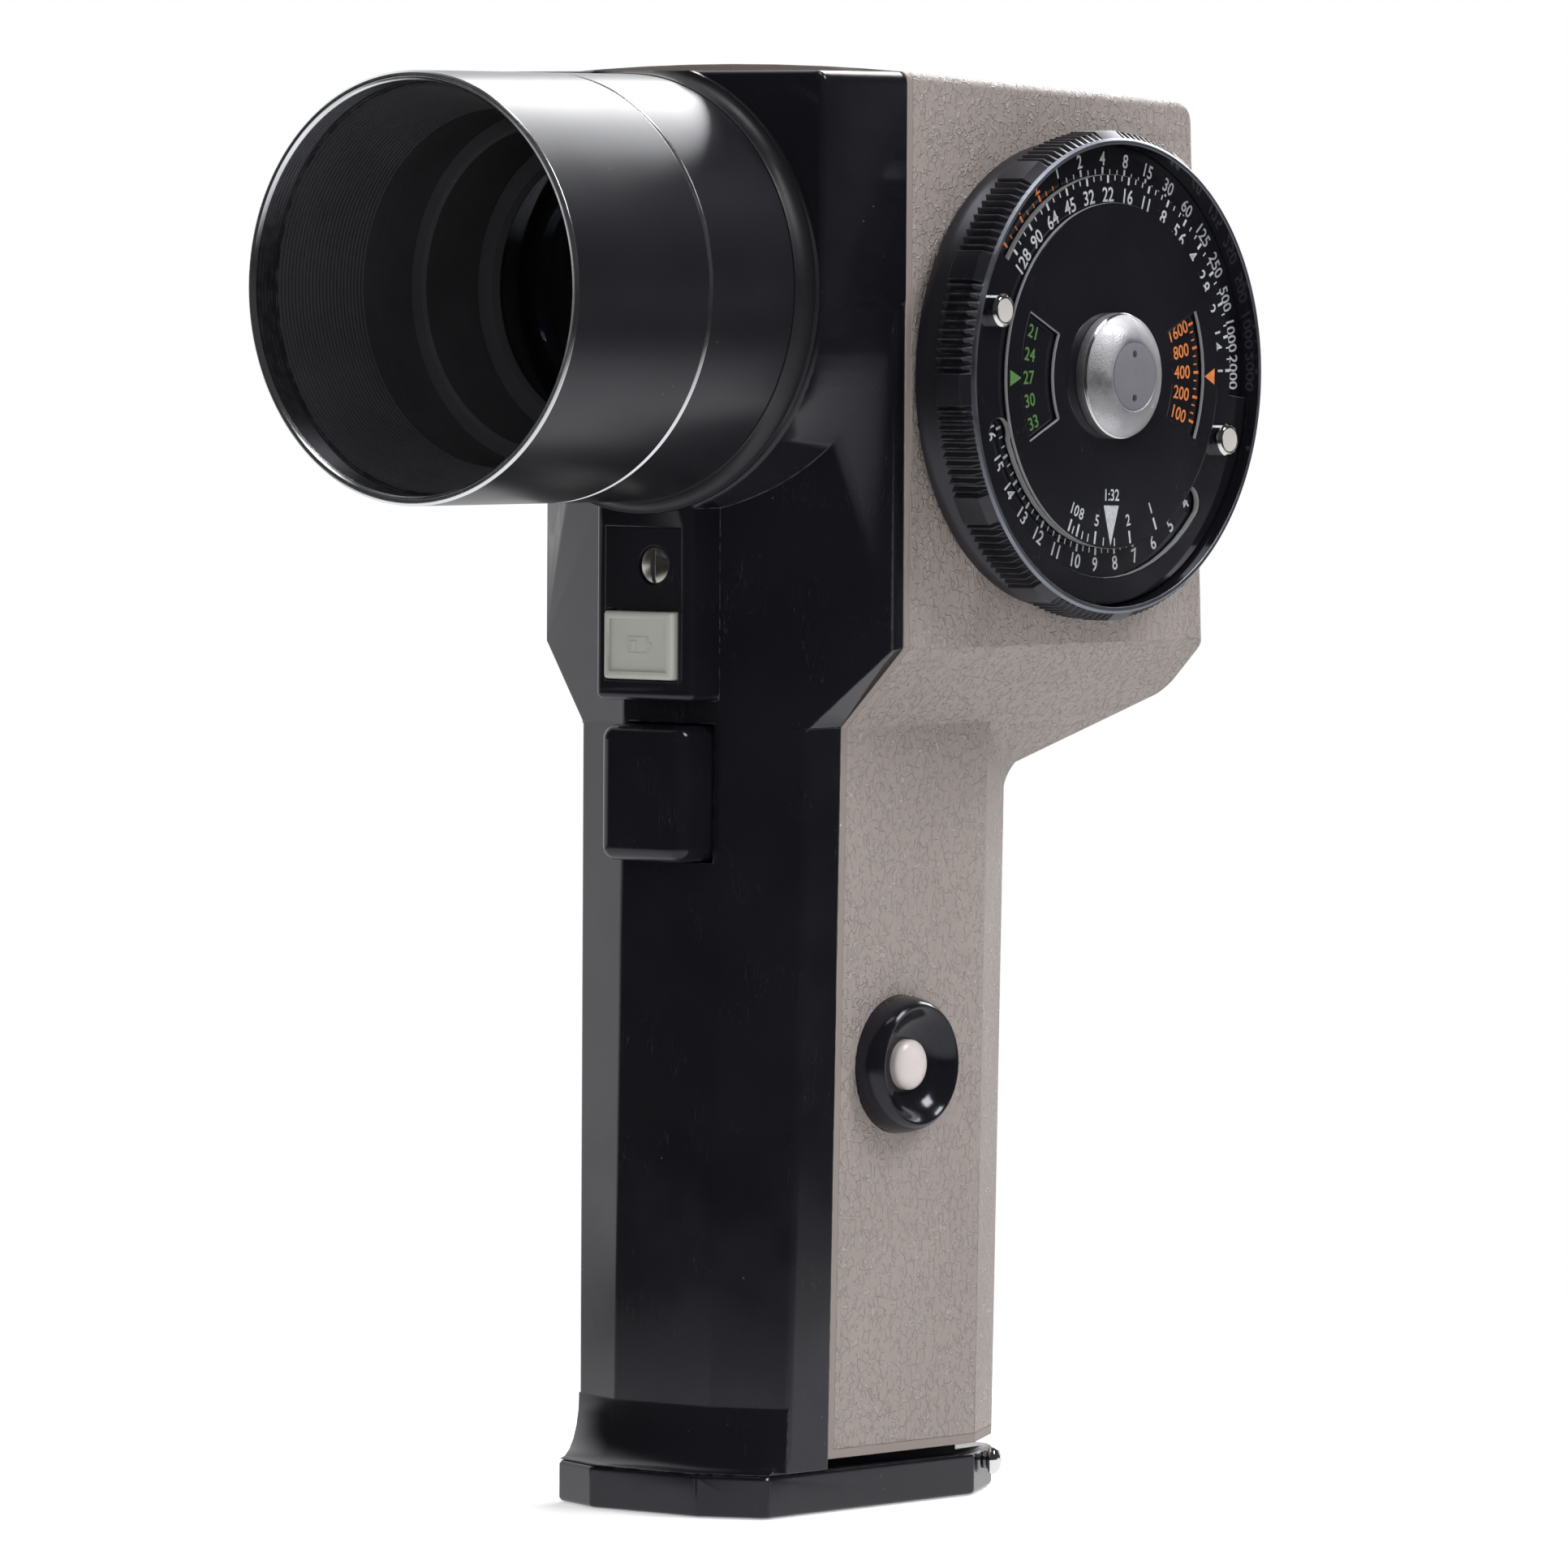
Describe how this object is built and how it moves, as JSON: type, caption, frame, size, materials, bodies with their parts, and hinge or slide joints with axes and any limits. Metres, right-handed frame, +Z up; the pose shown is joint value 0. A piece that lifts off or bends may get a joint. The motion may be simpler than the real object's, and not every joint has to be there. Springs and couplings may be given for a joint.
{
  "type": "spot light meter",
  "caption": "Hand-held spot light meter with a viewing lens barrel, trigger grip, side exposure calculator dial, lamp button, rear eyepiece and tripod socket.",
  "frame": {"origin": "centre of the tripod socket's mouth, in the underside of the base cap", "axes": "+Z up along the grip; -Y along the lens axis, the way the meter points; +X out of the calculator dial, on the user's right"},
  "size_m": [0.0648, 0.1244, 0.1685],
  "materials": {
    "black_shell": "gloss black moulding",
    "black_paint": "gloss black enamel",
    "grained_grey": "warm grey moulding with a fine leather grain",
    "black_anodised": "satin black anodised",
    "turned_aluminium": "bead-blasted and turned",
    "plain_steel": "machined",
    "spring_steel": "drawn wire",
    "bright_chrome": "polished",
    "gloss_black": "gloss black with pale print",
    "black_plastic": "fine grained",
    "grey_plastic": "satin pale grey",
    "white_plastic": "ivory white",
    "black_rubber": "matt",
    "optical_glass": "coated",
    "brass": "turned",
    "board": "brown laminate with parts",
    "magnet_iron": "ground",
    "copper_wire": null,
    "needle_paint": "red lacquer",
    "cream_print": "printed film",
    "battery_can": "nickel plated can"
  },
  "bodies": {
    "case": {"front_casing": "black_shell", "right_cover": "grained_grey", "left_cover": "grained_grey", "chassis": "turned_aluminium", "front_plate": "gloss_black", "check_spring": "spring_steel", "trigger_spring": "spring_steel", "trigger_switch": "black_plastic", "lamp_ring": "black_plastic", "lamp_spring": "spring_steel", "lamp_switch": "black_plastic", "hood_tube": "black_anodised", "barrel": "black_anodised", "barrel_collar": "black_anodised", "baffle": "black_anodised", "lens_cell": "black_anodised", "front_lens": "optical_glass", "rear_lens": "optical_glass", "lens_ring": "black_anodised", "dial_flange": "black_anodised", "dial_shaft": "plain_steel", "center_plate": "gloss_black", "hub_cap": "turned_aluminium", "hub_nut": "plain_steel", "spring_washer": "spring_steel", "detent_ball": "plain_steel", "detent_spring": "spring_steel", "eye_tube": "black_anodised", "beam_prism": "optical_glass", "prism_holder": "turned_aluminium", "reticle": "optical_glass", "photocell": "plain_steel", "meter_magnet": "magnet_iron", "meter_bridges": "brass", "hair_spring": "brass", "meter_scale": "cream_print", "circuit_board": "board", "battery": "battery_can", "battery_holder": "black_plastic", "battery_contacts": "brass", "base_cap": "black_paint", "tripod_bush": "brass", "strap_lug": "bright_chrome", "case_screws": "plain_steel", "small_screws": "plain_steel"},
    "trigger_body": {"trigger": "black_plastic"},
    "check_button_body": {"check_button": "grey_plastic"},
    "lamp_button_body": {"lamp_button": "white_plastic"},
    "zero_screw_body": {"zero_screw": "plain_steel"},
    "exposure_ring": {"knurled_ring": "black_anodised", "scale_disc": "gloss_black"},
    "film_speed_disc": {"speed_disc": "gloss_black", "grip_pins": "bright_chrome"},
    "eyepiece_ring": {"focus_ring": "black_anodised", "eyecup": "black_rubber"},
    "eyepiece_cell": {"eye_cell": "black_anodised", "eye_lens": "optical_glass"},
    "needle": {"meter_coil": "copper_wire", "meter_pointer": "needle_paint"},
    "base_screw": {"coin_screw": "plain_steel"}
  },
  "joints": [
    {"name": "trigger_pull", "type": "slide", "parent": "case", "child": "trigger_body", "axis": [0, 1, 0], "range_m": [0, 0.002], "stiffness_N_per_m": 400, "springref_m": -0.0008, "deforming": ["trigger_spring"]},
    {"name": "check_press", "type": "slide", "parent": "case", "child": "check_button_body", "axis": [0, 1, 0], "range_m": [0, 0.0007], "stiffness_N_per_m": 400, "springref_m": -0.0006, "deforming": ["check_spring"]},
    {"name": "lamp_press", "type": "slide", "parent": "case", "child": "lamp_button_body", "axis": [-1, 0, 0], "range_m": [0, 0.0015], "stiffness_N_per_m": 350, "springref_m": -0.0008, "deforming": ["lamp_spring"]},
    {"name": "zero_turn", "type": "hinge", "parent": "case", "child": "zero_screw_body", "pos_m": [0.0016, -0.026, 0.1103], "axis": [0, 1, 0], "range_deg": [-150, 150]},
    {"name": "exposure_turn", "type": "hinge", "parent": "case", "child": "exposure_ring", "pos_m": [0.033, 0.0139, 0.1324], "axis": [1, 0, 0], "continuous": true},
    {"name": "film_speed_turn", "type": "hinge", "parent": "case", "child": "film_speed_disc", "pos_m": [0.034, 0.0139, 0.1324], "axis": [1, 0, 0], "range_deg": [-41, 62]},
    {"name": "focus_turn", "type": "hinge", "parent": "case", "child": "eyepiece_ring", "pos_m": [0, 0.046, 0.1424], "axis": [0, 1, 0], "range_deg": [-60, 60]},
    {"name": "eyepiece_slide", "type": "slide", "parent": "case", "child": "eyepiece_cell", "axis": [0, 1, 0], "range_m": [-0.001, 0.001]},
    {"name": "needle_swing", "type": "hinge", "parent": "case", "child": "needle", "pos_m": [0, 0.0105, 0.106], "axis": [0, 1, 0], "range_deg": [0, 24], "stiffness_Nm_per_rad": 0.00008, "springref_deg": -20.05},
    {"name": "base_screw_turn", "type": "hinge", "parent": "case", "child": "base_screw", "pos_m": [0, -0.0176, 0.003], "axis": [0, 0, 1], "range_deg": [0, 90]}
  ],
  "couplings": [
    {"joint": "eyepiece_slide", "follows": "focus_turn", "m_per_rad": 0.000955}
  ]
}
